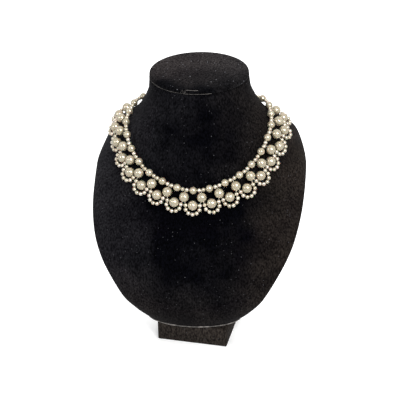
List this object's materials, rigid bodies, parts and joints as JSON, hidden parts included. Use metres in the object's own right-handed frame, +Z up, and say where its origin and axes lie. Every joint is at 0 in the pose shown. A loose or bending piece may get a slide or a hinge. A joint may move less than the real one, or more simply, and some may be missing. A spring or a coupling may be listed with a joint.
{
  "type": "beaded choker necklace on a neck bust",
  "caption": "Pearl lace choker: a beaded top strand with hanging pearls and scalloped loops of small pearls, worn on a velvet neck display bust with a box foot.",
  "frame": {"origin": "middle of the foot's base", "axes": "+Z up, -Y the front of the bust, +X to the right seen from the front"},
  "size_m": [0.1728, 0.1131, 0.2242],
  "materials": {
    "pearl": "glossy cream imitation pearl with a soft lustre",
    "metal": "plain silver-coloured clasp",
    "velvet": "black velvet with a fine short pile"
  },
  "bodies": {
    "root": {"strand_right": "pearl", "strand_left": "pearl", "middle_pearl_01": "pearl", "middle_pearl_02": "pearl", "middle_pearl_03": "pearl", "middle_pearl_04": "pearl", "middle_pearl_05": "pearl", "middle_pearl_06": "pearl", "middle_pearl_07": "pearl", "middle_pearl_08": "pearl", "middle_pearl_09": "pearl", "middle_pearl_10": "pearl", "middle_pearl_11": "pearl", "middle_pearl_12": "pearl", "middle_pearl_13": "pearl", "middle_pearl_14": "pearl", "middle_pearl_15": "pearl", "middle_pearl_16": "pearl", "middle_pearl_17": "pearl", "middle_pearl_18": "pearl", "picot_01": "pearl", "picot_02": "pearl", "picot_03": "pearl", "picot_04": "pearl", "picot_05": "pearl", "picot_06": "pearl", "picot_07": "pearl", "picot_08": "pearl", "picot_09": "pearl", "picot_10": "pearl", "picot_11": "pearl", "picot_12": "pearl", "picot_13": "pearl", "picot_14": "pearl", "picot_15": "pearl", "picot_16": "pearl", "picot_17": "pearl", "clasp": "metal", "neck_bust": "velvet", "bust_lid": "velvet", "bust_foot": "velvet"}
  },
  "joints": []
}
